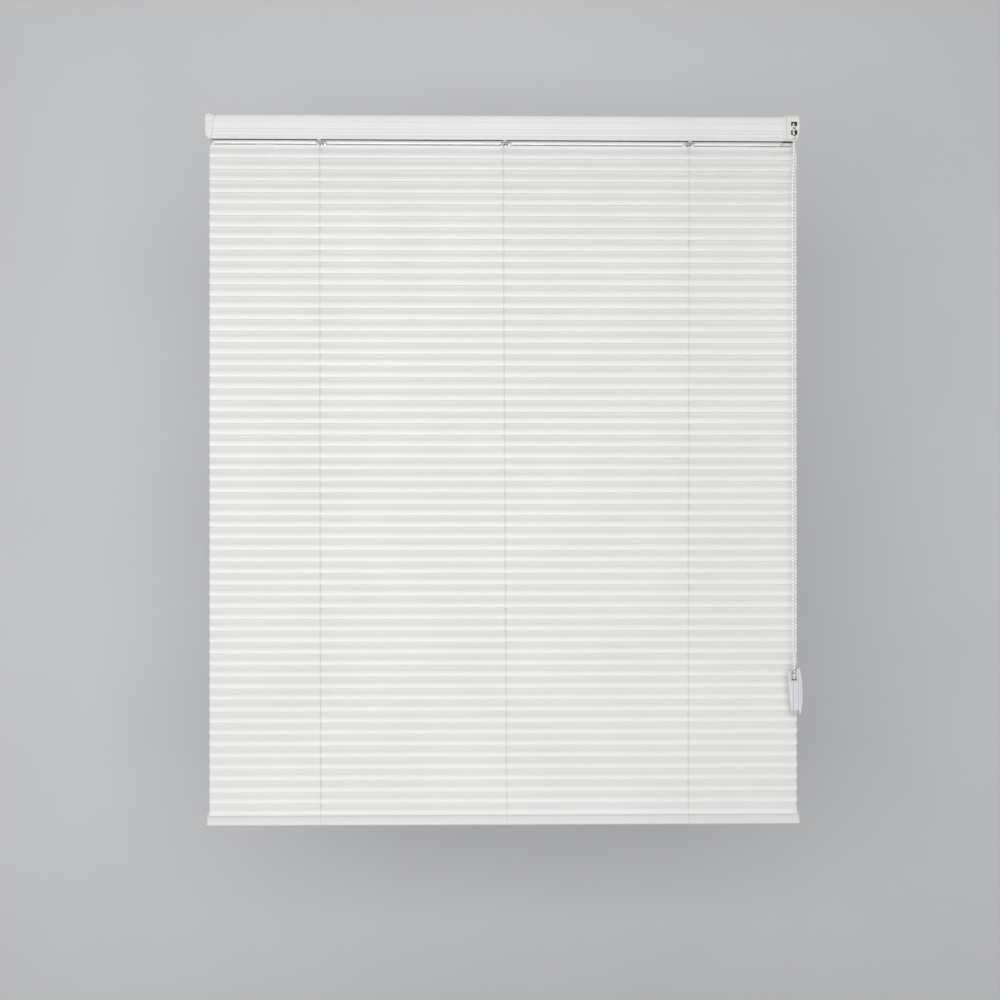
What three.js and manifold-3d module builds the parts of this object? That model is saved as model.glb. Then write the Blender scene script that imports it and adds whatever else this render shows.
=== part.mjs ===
// Mini blind with S-shaped slats, millimetres, +Z up, front towards -Y.
// The origin lies on the flat top of the headrail at mid length, and the slats hang in the plane y = 0.
// The blind is drawn shut. All tilting pieces turn about axes along X.
import * as THREE from 'three';
import { mergeVertices } from 'three/addons/utils/BufferGeometryUtils.js';
import Module from 'manifold-3d';

const wasm = await Module();
wasm.setup();

// Overall sizes
const railSpan = 1072.9;
const railHeight = 46.5;
const railFront = 36;
const railBack = 20;
const fit = 0.3;
const overrun = 2;

// Slats
const slatTrim = 0.6;
const slatLength = railSpan - slatTrim;
const slatShift = 3;
const slatWidth = 25.15;
const slatGauge = 0.25;
const ladderPitch = 21;
const firstSlatGap = 15.4;
const firstSlatDrop = railHeight + firstSlatGap;
const pairCount = 29;
const closedTilt = 75 * Math.PI / 180;
const linkWidth = 5;

// Ladders and lift cords
const ladderInset = 200.45;
const stationSpread = slatLength / 2 - ladderInset;
const cordRadius = 0.6;
const liftBack = 8.5;
const ladderEndGap = 3;

// Headrail and its ends
const railWall = 1.2;
const reedWidth = 1;
const reedDepth = 0.5;
const curveDepth = 14;
const channelWidth = 10.4;
const channelRise = 9;
const capWall = 2.2;
const capUnder = 0.8;
const capSleeveTop = 17.1;
const capSleeveBottom = 10.2;
const slotHalf = 5;
const slotReach = 13.5;

// Tilt shaft, drums and cradles
const shaftRise = 20.5;
const shaftDrop = railHeight - shaftRise;
const shaftSide = 5;
const flangeRadius = 11;
const flangeWidth = 1.2;
const grooveWidth = 3.8;
const drumBodyRadius = 7;
const drumHalf = 10.6;
const hubRadius = 5;
const cradleWall = 2;
const cradleBase = 2;
const cradleDepth = 34;
const cradleRim = 3;
const shaftTail = 8;

// Control unit
const controlWidth = 34.2;
const collarWidth = 11.4;
const collarPoint = 6.3;
const controlDrop = 0.8;
const controlStep = 11;
const coverWall = 2;
const gearModule = 1.25;
const shaftTeeth = 24;
const wheelTeeth = 16;
const gearWidth = 6;
const gearSideGap = 0.5;
const toothPlay = 0.3;
const gearHubRadius = 6;
const axleRadius = 3;
const wheelFlangeRadius = 10;
const wheelFlangeWidth = 1.4;
const wheelBossRadius = 5;
const chainFromEnd = 10.4;
const windowWidth = 12.6;
const windowRise = 10.7;
const windowFall = 13.6;
const windowBarRise = 2.6;
const windowBarFall = 4.2;
const cornerCut = 5;
const cornerRise = 9;

// Bead chain
const beadRadius = 2.25;
const wheelPathRadius = 8.8;
const pulleyPathRadius = 6;
const frontSplay = -2.6;
const rearSplay = 4.4;
const slotEase = 1.9;
const splayRun = 64;

// Tensioner
const tensionerHang = 972.5;
const tensionerTop = shaftDrop + tensionerHang;
const tensionerHeight = 83.2;
const tensionerWidth = 18.4;
const tensionerLeftReach = 12.6;
const tensionerTaper = 6;
const tensionerSlope = 6;
const tensionerBackY = -24.6;
const tensionerDepth = 20.7;
const tensionerWall = 1.8;
const wingBulge = 8.3;
const pulleyDrop = 16.5;
const pulleyPinRadius = 1.6;
const pulleyPinLength = 13;
const pulleyFlangeWidth = 1.2;
const pulleyFlangeRadius = 7;
const eyeWidth = 10.4;
const eyeInset = 4.5;
const eyeDepth = 27.1;
const lineWidth = 0.8;
const lineInset = 9.8;
const lineDrop = 3;

// Bottom rail
const bottomOverhang = 4.9;
const bottomLength = slatLength + bottomOverhang;
const bottomWidth = 25;
const bottomThick = 9;
const bottomWall = 1;
const bottomDrop = 19.2;
const bottomTilt = 60 * Math.PI / 180;
const bottomCapThick = 2;
const bottomCapPlug = 8;
const plugOffset = 25.5;
const plugRadius = 5.3;
const plugThick = 2.4;
const plugInset = 7.5;
const stemRadius = 3;
const stemLength = 4;

// Brackets
const bracketWidth = 40;
const bracketInset = 106.45;
const bracketSpread = railSpan / 2 - bracketInset;
const bracketReach = 6;
const bracketThick = 2.2;
const bracketLip = 9;
const screwRadius = 2.2;
const screwSpread = 12;

// Facets
const roundSides = 24;
const smallSides = 12;
const cordSides = 6;
const arcSteps = 6;

// Shares of the rail's front curve: setback over the curve's depth, drop over the height
const frontShares = [
  [1, 0],
  [0.57, 0.03],
  [0.25, 0.11],
  [0.07, 0.22],
  [0, 0.38],
  [0, 0.67],
  [0.07, 0.86],
  [0.16, 0.93],
  [0.05, 0.965],
  [0.12, 1],
  [0.4, 1],
];
const reedShares = [0.08, 0.29, 0.585, 0.705, 0.84];
const controlShares = [
  [1, 0],
  [0.57, 0.03],
  [0.25, 0.11],
  [0.07, 0.22],
  [0, 0.38],
  [0, 0.94],
  [0.06, 1],
];
const collarPointShare = 0.29;

// Shares of the slat's section over its width: along the chord from rear to front edge, and off the chord
const slatShares = [
  [-0.5, 0],
  [-0.4, -0.036],
  [-0.27, -0.048],
  [-0.1, -0.028],
  [0.08, 0.024],
  [0.25, 0.058],
  [0.38, 0.041],
  [0.5, 0],
];

// Shares of the slat's panel that a link's end covers
const linkShares = [0.35, 0.65];

// Shares of the wing: bulge, and drop over the tensioner's height
const wingShares = [
  [0.38, 0],
  [0.57, 0.11],
  [0.73, 0.2],
  [0.88, 0.35],
  [1, 0.55],
  [1, 0.76],
  [0.88, 0.84],
  [0.7, 0.93],
  [0.52, 1],
];

// Shares of the bottom rail's section: half width and half thickness
const bottomShares = [
  [1, 0.3],
  [0.88, 0.85],
  [0.6, 1],
  [-0.6, 1],
  [-0.88, 0.85],
  [-1, 0.3],
  [-1, -0.3],
  [-0.88, -0.85],
  [-0.6, -1],
  [0.6, -1],
  [0.88, -0.85],
  [1, -0.3],
];

const addendumShare = 0.9;
const dedendumShare = 1.25;
const pressureAngle = 20 * Math.PI / 180;

// Places worked out from the sizes
const railLeft = -railSpan / 2 + capWall + fit;
const controlLeft = railSpan / 2 - controlWidth;
const collarEnd = controlLeft + collarWidth;
const wallLeft = controlLeft + collarPoint;
const railRight = wallLeft - fit;
const shaftZ = -shaftDrop;
const gearDistance = gearModule * (shaftTeeth + wheelTeeth) / 2;
const wheelY = -gearDistance;
const chainX = railSpan / 2 - chainFromEnd;
const firstZ = -firstSlatDrop;
const lastZ = firstZ - ladderPitch * (2 * pairCount - 1);
const bottomZ = lastZ - bottomDrop;
const tipY = slatWidth / 2 * Math.cos(closedTilt);
const tipZ = slatWidth / 2 * Math.sin(closedTilt);
const stringY = tipY + slatGauge / 2 + cordRadius + fit;
const drumRadius = tipZ / closedTilt;
const grooveRadius = drumRadius - cordRadius - fit;
const stations = {
  left: slatShift - stationSpread,
  centre: slatShift,
  right: slatShift + stationSpread,
};
const floorTop = -railHeight + railWall;
const capTop = fit + capWall;
const capFront = railFront + fit + capWall;
const capBack = railBack + fit + capWall;
const capBottom = -railHeight - fit - capUnder;
const controlBottom = capBottom - controlDrop;
const controlRight = railSpan / 2;
const liftOffset = grooveWidth + flangeWidth;
const tensionerLeft = chainX - tensionerLeftReach;
const wingLeft = tensionerLeft + tensionerWidth + fit;
const tensionerFrontY = tensionerBackY - tensionerDepth;
const pulleyY = tensionerBackY - tensionerWall - fit - beadRadius - pulleyPathRadius;
const pulleyZ = -tensionerTop - pulleyDrop;

// Solids
function wound(outline, clockwise) {
  const points = outline.map(([a, b]) => new THREE.Vector2(a, b));
  return THREE.ShapeUtils.isClockWise(points) === clockwise ? points : points.reverse();
}

function extruded(outline, holes, depth) {
  const shape = new THREE.Shape(wound(outline, false));
  shape.holes = holes.map((hole) => new THREE.Path(wound(hole, true)));
  return new THREE.ExtrudeGeometry(shape, { depth, bevelEnabled: false, curveSegments: 1 });
}

// An outline in y and z, drawn out along X from x0 to x1
function alongX(outline, x0, x1, holes = []) {
  const geometry = extruded(outline, holes, x1 - x0);
  const turn = new THREE.Matrix4().makeBasis(
    new THREE.Vector3(0, 1, 0),
    new THREE.Vector3(0, 0, 1),
    new THREE.Vector3(1, 0, 0),
  );
  geometry.applyMatrix4(turn);
  geometry.translate(x0, 0, 0);
  return geometry;
}

// An outline in x and z, drawn out along Y from y0 to y1
function alongY(outline, y0, y1, holes = []) {
  const geometry = extruded(outline, holes, y1 - y0);
  geometry.rotateX(Math.PI / 2);
  geometry.translate(0, y1, 0);
  return geometry;
}

function block(x0, x1, y0, y1, z0, z1) {
  const geometry = new THREE.BoxGeometry(x1 - x0, y1 - y0, z1 - z0);
  geometry.translate((x0 + x1) / 2, (y0 + y1) / 2, (z0 + z1) / 2);
  return geometry;
}

function circle(y, z, radius, sides, turned = 0) {
  const points = [];
  for (let i = 0; i < sides; i += 1) {
    const angle = turned + 2 * Math.PI * i / sides;
    points.push([y + radius * Math.cos(angle), z + radius * Math.sin(angle)]);
  }
  return points;
}

function square(y, z, side) {
  const half = side / 2;
  return [[y - half, z - half], [y + half, z - half], [y + half, z + half], [y - half, z + half]];
}

function solid(geometry) {
  if (geometry instanceof wasm.Manifold) {
    return geometry;
  }
  const bare = new THREE.BufferGeometry();
  bare.setAttribute('position', geometry.getAttribute('position'));
  if (geometry.index) {
    bare.setIndex(geometry.index);
  }
  const merged = mergeVertices(bare);
  const corners = [];
  for (let i = 0; i < merged.index.count; i += 3) {
    const [a, b, c] = merged.index.array.slice(i, i + 3);
    if (a !== b && b !== c && c !== a) {
      corners.push(a, b, c);
    }
  }
  return new wasm.Manifold(new wasm.Mesh({
    numProp: 3,
    vertProperties: new Float32Array(merged.getAttribute('position').array),
    triVerts: new Uint32Array(corners),
  }));
}

function geometryOf(manifold) {
  const mesh = manifold.getMesh();
  const geometry = new THREE.BufferGeometry();
  geometry.setAttribute('position', new THREE.BufferAttribute(mesh.vertProperties, 3));
  geometry.setIndex(new THREE.BufferAttribute(mesh.triVerts, 1));
  geometry.computeVertexNormals();
  return geometry;
}

function combined(adds, cuts = []) {
  let body = solid(adds[0]);
  for (const add of adds.slice(1)) {
    body = body.add(solid(add));
  }
  for (const cut of cuts) {
    body = body.subtract(solid(cut));
  }
  return body;
}

// A round cord through points that stay close to a plane of constant x, open or joined end to end
function cord(points, radius, joined = false) {
  const path = points.map(([x, y, z]) => new THREE.Vector3(x, y, z));
  const count = path.length;
  const positions = [];
  const triangles = [];
  for (let i = 0; i < count; i += 1) {
    const before = path[joined ? (i + count - 1) % count : Math.max(i - 1, 0)];
    const after = path[joined ? (i + 1) % count : Math.min(i + 1, count - 1)];
    const into = path[i].clone().sub(before).normalize();
    const out = after.clone().sub(path[i]).normalize();
    const along = into.add(out).normalize();
    const side = new THREE.Vector3(1, 0, 0).addScaledVector(along, -along.x).normalize();
    const up = new THREE.Vector3().crossVectors(along, side);
    for (let k = 0; k < cordSides; k += 1) {
      const angle = 2 * Math.PI * k / cordSides;
      const point = path[i].clone();
      point.addScaledVector(side, radius * Math.cos(angle));
      point.addScaledVector(up, radius * Math.sin(angle));
      positions.push(point.x, point.y, point.z);
    }
  }
  const spans = joined ? count : count - 1;
  for (let i = 0; i < spans; i += 1) {
    const here = i * cordSides;
    const next = ((i + 1) % count) * cordSides;
    for (let k = 0; k < cordSides; k += 1) {
      const m = (k + 1) % cordSides;
      triangles.push(here + k, here + m, next + m, here + k, next + m, next + k);
    }
  }
  if (!joined) {
    const last = (count - 1) * cordSides;
    for (let k = 1; k < cordSides - 1; k += 1) {
      triangles.push(0, k + 1, k, last, last + k, last + k + 1);
    }
  }
  const geometry = new THREE.BufferGeometry();
  geometry.setAttribute('position', new THREE.Float32BufferAttribute(positions, 3));
  geometry.setIndex(triangles);
  geometry.computeVertexNormals();
  return geometry;
}

// Points on an arc about an axis along X, with angles from +Y towards +Z
function arc(x, y, z, radius, from, to, steps = arcSteps) {
  const points = [];
  for (let i = 0; i <= steps; i += 1) {
    const angle = from + (to - from) * i / steps;
    points.push([x, y + radius * Math.cos(angle), z + radius * Math.sin(angle)]);
  }
  return points;
}

// Turned pieces about an axis along X, from pairs of place along X and radius
function turned(profile, y, z, sides) {
  const ends = [[profile[0][0], 0], ...profile, [profile[profile.length - 1][0], 0]];
  const points = ends.map(([along, radius]) => new THREE.Vector2(radius, along));
  const geometry = new THREE.LatheGeometry(points, sides);
  geometry.rotateZ(-Math.PI / 2);
  geometry.translate(0, y, z);
  return geometry;
}

// Headrail section: flat top, curved front, flat floor and back
function casing(front, back, top, bottom, shares = frontShares) {
  const height = top - bottom;
  const curve = shares.map(([setback, drop]) => [-front + setback * curveDepth, top - drop * height]);
  return [[back, top], ...curve, [back, bottom]];
}

// Adds a shallow V groove to the front curve at each share of the rail's height
function reeded(outline) {
  const points = [];
  for (let i = 0; i < outline.length; i += 1) {
    const [y0, z0] = outline[i];
    points.push(outline[i]);
    const [y1, z1] = outline[(i + 1) % outline.length];
    const onFront = z1 < z0 && y0 < 0 && y1 < 0;
    for (const share of reedShares) {
      const z = -share * railHeight;
      const half = reedWidth / 2;
      if (onFront && z + half < z0 && z - half > z1) {
        const at = (height) => y0 + (y1 - y0) * (z0 - height) / (z0 - z1);
        points.push([at(z + half), z + half], [at(z) + reedDepth, z], [at(z - half), z - half]);
      }
    }
  }
  return points;
}

const railSection = reeded(casing(railFront, railBack, 0, -railHeight));
const railHollow = casing(railFront - railWall, railBack - railWall, -railWall, floorTop);
const railOver = casing(railFront + fit, railBack + fit, fit, -railHeight - fit);
const capSection = casing(capFront, capBack, capTop, capBottom);

// The rail is open along its underside between the curved front and the floor
const channelFront = -railFront + frontShares.at(-1)[0] * curveDepth;
const channelSpan = (grown) => block(
  railLeft - overrun,
  railRight + overrun,
  channelFront - grown,
  channelFront + channelWidth + grown,
  -railHeight - overrun,
  -railHeight + channelRise + grown,
);
const headrail = combined(
  [alongX(railSection, railLeft, railRight)],
  [
    combined([alongX(railHollow, railLeft - overrun, railRight + overrun)], [channelSpan(railWall)]),
    channelSpan(0),
    ...Object.values(stations).map((x) => block(
      x - slotHalf,
      x + slotHalf + liftOffset,
      -slotReach,
      slotReach,
      -railHeight - overrun,
      floorTop + overrun,
    )),
  ],
);

// Left end cap, a cup over the rail's end with a raked edge
const capLeft = -railSpan / 2;
const endCap = combined(
  [alongX(capSection, capLeft, capLeft + capSleeveTop)],
  [
    alongX(railOver, railLeft - fit, capLeft + capSleeveTop + overrun),
    alongY([
      [capLeft + capSleeveTop, capTop],
      [capLeft + capSleeveTop, capTop + overrun],
      [capLeft + capSleeveTop + overrun, capTop + overrun],
      [capLeft + capSleeveTop + overrun, capBottom - overrun],
      [capLeft + capSleeveBottom, capBottom - overrun],
      [capLeft + capSleeveBottom, capBottom],
    ], -capFront - overrun, capBack + overrun),
  ],
);

// Control housing: a collar with a pointed edge on the rail's right end, a wall, and the wheel's axle
const gearLeft = collarEnd;
const gearRight = gearLeft + gearWidth;
const controlHousing = combined(
  [
    alongX(capSection, controlLeft, collarEnd - fit),
    alongX(circle(wheelY, shaftZ, axleRadius, smallSides), wallLeft + fit, controlRight - coverWall - fit),
  ],
  [
    alongX(railOver, controlLeft - overrun, wallLeft),
    alongY([
      [controlLeft - overrun, capTop + overrun],
      [wallLeft, capTop + overrun],
      [wallLeft, capTop],
      [controlLeft, -railHeight * collarPointShare],
      [wallLeft, capBottom],
      [wallLeft, capBottom - overrun],
      [controlLeft - overrun, capBottom - overrun],
    ], -capFront - overrun, capBack + overrun),
    alongX(circle(0, shaftZ, gearHubRadius + fit, roundSides), wallLeft - overrun, collarEnd + overrun),
  ],
);

// Control cover: a shell with a barred window, a slot under the wheel for the chain and a clipped corner
function controlOutline(inset) {
  const outline = casing(
    capFront - inset,
    capBack - inset,
    capTop - inset,
    controlBottom + inset,
    controlShares,
  );
  const backBottom = outline.pop();
  return [
    ...outline,
    [-controlStep, controlBottom + inset],
    [-controlStep + controlDrop, capBottom + inset],
    [backBottom[0], capBottom + inset],
  ];
}

function clippedCorner(inset) {
  const right = controlRight - inset;
  const bottom = controlBottom + inset;
  return alongY([
    [right + overrun, bottom - overrun],
    [right + overrun, bottom + cornerRise],
    [right, bottom + cornerRise],
    [right - cornerCut, bottom],
    [right - cornerCut, bottom - overrun],
  ], -capFront - overrun, capBack + overrun);
}

const chainSlotHalf = beadRadius + fit + slotEase;
const windowCut = (low, high) => block(
  chainX - windowWidth / 2,
  chainX + windowWidth / 2,
  -capFront - overrun,
  -capFront + coverWall + overrun,
  shaftZ + low,
  shaftZ + high,
);
const coverHollow = combined(
  [alongX(controlOutline(coverWall), collarEnd - overrun, controlRight - coverWall)],
  [clippedCorner(coverWall)],
);
const controlCover = combined(
  [alongX(controlOutline(0), collarEnd, controlRight)],
  [
    coverHollow,
    clippedCorner(0),
    windowCut(windowBarRise, windowRise),
    windowCut(-windowFall, -windowBarFall),
    block(
      chainX - chainSlotHalf,
      chainX + chainSlotHalf,
      -capFront + coverWall,
      -controlStep,
      controlBottom - overrun,
      controlBottom + coverWall + overrun,
    ),
  ],
);

// Involute gears in mesh at rest: a tooth of the shaft's gear points at a gap of the wheel's
function gearOutline(teeth, y, z, phase) {
  const pitchRadius = gearModule * teeth / 2;
  const baseRadius = pitchRadius * Math.cos(pressureAngle);
  const tip = pitchRadius + addendumShare * gearModule;
  const root = pitchRadius - dedendumShare * gearModule;
  const halfTooth = (Math.PI * gearModule / 2 - toothPlay) / 2 / pitchRadius;
  const involute = (radius) => {
    const angle = Math.acos(Math.min(baseRadius / radius, 1));
    return Math.tan(angle) - angle;
  };
  const flank = [root, Math.max(root, baseRadius), pitchRadius, tip];
  const points = [];
  for (let i = 0; i < teeth; i += 1) {
    const middle = phase + 2 * Math.PI * i / teeth;
    const side = (sign) => flank.map((radius) => {
      const half = halfTooth + involute(pitchRadius) - involute(Math.max(radius, baseRadius));
      const angle = middle + sign * half;
      return [y + radius * Math.cos(angle), z + radius * Math.sin(angle)];
    });
    points.push(...side(-1), ...side(1).reverse());
  }
  return points;
}

const shaftHole = square(0, shaftZ, shaftSide + 2 * fit);
const shaftGearLeft = gearLeft + gearSideGap;
const shaftGearRight = gearRight - gearSideGap;
const shaftGear = combined(
  [
    alongX(gearOutline(shaftTeeth, 0, shaftZ, Math.PI), shaftGearLeft, shaftGearRight),
    alongX(circle(0, shaftZ, gearHubRadius, roundSides), wallLeft, shaftGearLeft + overrun),
  ],
  [alongX(shaftHole, wallLeft - overrun, shaftGearRight + overrun)],
);

const wheelGrooveRadius = wheelPathRadius - beadRadius - fit;
const grooveHalf = beadRadius + fit;
const wheelBossRight = controlRight - coverWall - 2 * fit;
const chainWheel = combined(
  [
    alongX(gearOutline(wheelTeeth, wheelY, shaftZ, Math.PI / wheelTeeth), gearLeft, gearRight),
    turned([
      [gearRight - overrun, wheelBossRadius],
      [gearRight, wheelBossRadius],
      [gearRight, wheelFlangeRadius],
      [chainX - grooveHalf, wheelFlangeRadius],
      [chainX - grooveHalf, wheelGrooveRadius],
      [chainX + grooveHalf, wheelGrooveRadius],
      [chainX + grooveHalf, wheelFlangeRadius],
      [chainX + grooveHalf + wheelFlangeWidth, wheelFlangeRadius],
      [chainX + grooveHalf + wheelFlangeWidth, wheelBossRadius],
      [wheelBossRight, wheelBossRadius],
    ], wheelY, shaftZ, roundSides),
  ],
  [alongX(circle(wheelY, shaftZ, axleRadius + fit, smallSides), gearLeft - overrun, controlRight)],
);

// Tilt shaft, and a drum for each ladder with a second groove for the lift cord
const tiltShaft = alongX(
  square(0, shaftZ, shaftSide),
  stations.left - drumHalf - cradleWall - shaftTail,
  shaftGearRight,
);

function drumAt(x) {
  const hubEnd = drumHalf + 2 * fit + cradleWall;
  const ladderSide = grooveWidth / 2;
  const liftSide = liftOffset + grooveWidth / 2;
  const profile = [
    [-hubEnd, hubRadius],
    [-drumHalf, hubRadius],
    [-drumHalf, drumBodyRadius],
    [-ladderSide - flangeWidth, drumBodyRadius],
    [-ladderSide - flangeWidth, flangeRadius],
    [-ladderSide, flangeRadius],
    [-ladderSide, grooveRadius],
    [ladderSide, grooveRadius],
    [ladderSide, flangeRadius],
    [ladderSide + flangeWidth, flangeRadius],
    [ladderSide + flangeWidth, grooveRadius],
    [liftSide, grooveRadius],
    [liftSide, flangeRadius],
    [liftSide + flangeWidth, flangeRadius],
    [liftSide + flangeWidth, drumBodyRadius],
    [drumHalf, drumBodyRadius],
    [drumHalf, hubRadius],
    [hubEnd, hubRadius],
  ];
  const placed = profile.map(([along, radius]) => [x + along, radius]);
  return combined(
    [turned(placed, 0, shaftZ, smallSides)],
    [alongX(shaftHole, x - hubEnd - overrun, x + hubEnd + overrun)],
  );
}

function cradleAt(x) {
  const inside = drumHalf + fit;
  const outside = inside + cradleWall;
  const low = floorTop + fit;
  const around = hubRadius + fit + cradleRim;
  const upright = [
    [-around, low],
    [around, low],
    ...arc(0, 0, shaftZ, around, 0, Math.PI).map(([, y, z]) => [y, z]),
  ];
  const bore = circle(0, shaftZ, hubRadius + fit, smallSides);
  return combined(
    [
      block(x - outside - cradleRim, x + outside + cradleRim, -cradleDepth / 2, cradleDepth / 2, low, low + cradleBase),
      alongX(upright, x - outside, x - inside, [bore]),
      alongX(upright, x + inside, x + outside, [bore]),
    ],
    [
      block(
        x - slotHalf,
        x + slotHalf + liftOffset,
        -slotReach,
        slotReach,
        low - overrun,
        low + cradleBase + overrun,
      ),
    ],
  );
}

// Bead chain, one joined loop over the wheel and under the pulley, its runs set apart sideways
function chainRun(side) {
  const topY = wheelY - side * wheelPathRadius;
  const lowY = pulleyY - side * pulleyPathRadius;
  const shift = side > 0 ? frontSplay : rearSplay;
  return [shaftZ - splayRun, pulleyZ + splayRun].map((z) => {
    const share = (shaftZ - z) / (shaftZ - pulleyZ);
    return [chainX + shift, topY + (lowY - topY) * share, z];
  });
}

const beadChain = cord([
  ...arc(chainX, wheelY, shaftZ, wheelPathRadius, Math.PI, 0, 2 * arcSteps),
  ...chainRun(-1),
  ...arc(chainX, pulleyY, pulleyZ, pulleyPathRadius, 0, -Math.PI, 2 * arcSteps),
  ...chainRun(1).reverse(),
], beadRadius, true);

// Tensioner: a base with a side wing that carries the pin, a grooved cover with a window, and the pulley
const tensionerLow = -tensionerTop - tensionerHeight;
function tensionerOutline(inset, right) {
  return [
    [tensionerLeft + inset, -tensionerTop - tensionerSlope - inset],
    [right, -tensionerTop - inset],
    [right, tensionerLow + inset],
    [tensionerLeft + tensionerTaper + inset, tensionerLow + inset],
  ];
}

const wing = wingShares.map(([bulge, drop]) => [
  wingLeft + bulge * wingBulge,
  -tensionerTop - drop * tensionerHeight,
]);
const tensionerBase = combined([
  alongY(tensionerOutline(0, wingLeft + overrun), tensionerBackY - tensionerWall, tensionerBackY),
  alongY([[wingLeft, -tensionerTop], ...wing, [wingLeft, tensionerLow]], tensionerFrontY, tensionerBackY),
  alongX(
    circle(pulleyY, pulleyZ, pulleyPinRadius, smallSides),
    wingLeft - pulleyPinLength,
    wingLeft + overrun,
  ),
]);

const coverRight = tensionerLeft + tensionerWidth;
const coverBackY = tensionerBackY - tensionerWall - fit;
const eyeBottom = -tensionerTop - eyeDepth;
const tensionerCover = combined(
  [alongY(tensionerOutline(0, coverRight), tensionerFrontY, coverBackY)],
  [
    alongY(
      tensionerOutline(tensionerWall, coverRight + overrun),
      tensionerFrontY + tensionerWall,
      coverBackY + overrun,
    ),
    block(
      chainX - chainSlotHalf,
      coverRight + overrun,
      tensionerFrontY + tensionerWall,
      coverBackY + overrun,
      -tensionerTop - tensionerSlope - tensionerWall - overrun,
      -tensionerTop + overrun,
    ),
    block(
      tensionerLeft + eyeInset,
      tensionerLeft + eyeInset + eyeWidth,
      tensionerFrontY - overrun,
      tensionerFrontY + tensionerWall + overrun,
      eyeBottom,
      -tensionerTop + overrun,
    ),
    block(
      tensionerLeft + lineInset - lineWidth / 2,
      tensionerLeft + lineInset + lineWidth / 2,
      tensionerFrontY - overrun,
      tensionerFrontY + lineWidth,
      tensionerLow - overrun,
      eyeBottom - lineDrop,
    ),
  ],
);

const pulleyGrooveRadius = pulleyPathRadius - beadRadius - fit;
const pulley = combined(
  [turned([
    [chainX - grooveHalf - pulleyFlangeWidth, pulleyFlangeRadius],
    [chainX - grooveHalf, pulleyFlangeRadius],
    [chainX - grooveHalf, pulleyGrooveRadius],
    [chainX + grooveHalf, pulleyGrooveRadius],
    [chainX + grooveHalf, pulleyFlangeRadius],
    [chainX + grooveHalf + pulleyFlangeWidth, pulleyFlangeRadius],
  ], pulleyY, pulleyZ, smallSides)],
  [alongX(
    circle(pulleyY, pulleyZ, pulleyPinRadius + fit, smallSides),
    chainX - grooveHalf - pulleyFlangeWidth - overrun,
    chainX + grooveHalf + pulleyFlangeWidth + overrun,
  )],
);

// Bottom rail, drawn out from a section given across its width and thickness, and leaning as it hangs
function leaning(across, through) {
  return [
    -across * Math.cos(bottomTilt) - through * Math.sin(bottomTilt),
    bottomZ - across * Math.sin(bottomTilt) + through * Math.cos(bottomTilt),
  ];
}

function bottomOutline(inset) {
  const halfWidth = bottomWidth / 2 - inset;
  const halfThick = bottomThick / 2 - inset;
  return bottomShares.map(([across, through]) => leaning(across * halfWidth, through * halfThick));
}

// A round piece through the rail's underside, between two depths measured from mid thickness
function underRound(x, radius, from, to) {
  const geometry = new THREE.CylinderGeometry(radius, radius, from - to, smallSides);
  const normal = new THREE.Vector3(0, -Math.sin(bottomTilt), Math.cos(bottomTilt));
  const right = new THREE.Vector3(1, 0, 0);
  geometry.applyMatrix4(new THREE.Matrix4().makeBasis(right, normal, right.clone().cross(normal)));
  const [y, z] = leaning(bottomWidth / 2 - plugInset, (from + to) / 2);
  geometry.translate(x, y, z);
  return geometry;
}

const plugX = Object.values(stations).map((x) => x + plugOffset);
const underside = -bottomThick / 2;
const bottomLeft = slatShift - bottomLength / 2;
const bottomRight = slatShift + bottomLength / 2;
const bottomRail = combined(
  [alongX(bottomOutline(0), bottomLeft, bottomRight, [bottomOutline(bottomWall)])],
  plugX.map((x) => underRound(x, stemRadius + fit, underside + bottomWall + fit, underside - overrun)),
);

function bottomCap(end, outward) {
  const near = end + outward * fit;
  const far = near + outward * bottomCapThick;
  const inner = end - outward * bottomCapPlug;
  return combined([
    alongX(bottomOutline(0), Math.min(near, far), Math.max(near, far)),
    alongX(bottomOutline(bottomWall + fit), Math.min(inner, far), Math.max(inner, far)),
  ]);
}

function ladderPlug(x) {
  return combined([
    underRound(x, plugRadius, underside - fit, underside - fit - plugThick),
    underRound(x, stemRadius, underside + stemLength, underside - fit - plugThick),
  ]);
}

// Slat pairs: two slats, one ladder pitch apart, joined by a short link at each ladder
function slatPoint([along, off], z) {
  const across = along * slatWidth;
  const out = off * slatWidth;
  return [
    -across * Math.cos(closedTilt) - out * Math.sin(closedTilt),
    z - across * Math.sin(closedTilt) + out * Math.cos(closedTilt),
  ];
}

function sheet(points, gauge) {
  const offset = (side) => points.map(([y, z], i) => {
    const [y0, z0] = points[Math.max(i - 1, 0)];
    const [y1, z1] = points[Math.min(i + 1, points.length - 1)];
    const length = Math.hypot(y1 - y0, z1 - z0);
    return [y - side * gauge / 2 * (z1 - z0) / length, z + side * gauge / 2 * (y1 - y0) / length];
  });
  return [...offset(1), ...offset(-1).reverse()];
}

const slatLeft = slatShift - slatLength / 2;
const slatRight = slatShift + slatLength / 2;
function slatAt(z) {
  return alongX(sheet(slatShares.map((row) => slatPoint(row, z)), slatGauge), slatLeft, slatRight);
}

// Each end of a link lies in the middle of a slat's sheet
function linkSeat(from, to, z) {
  const [start, end] = [slatPoint(from, z), slatPoint(to, z)];
  return linkShares.map((share) => start.map((value, i) => value + (end[i] - value) * share));
}

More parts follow.
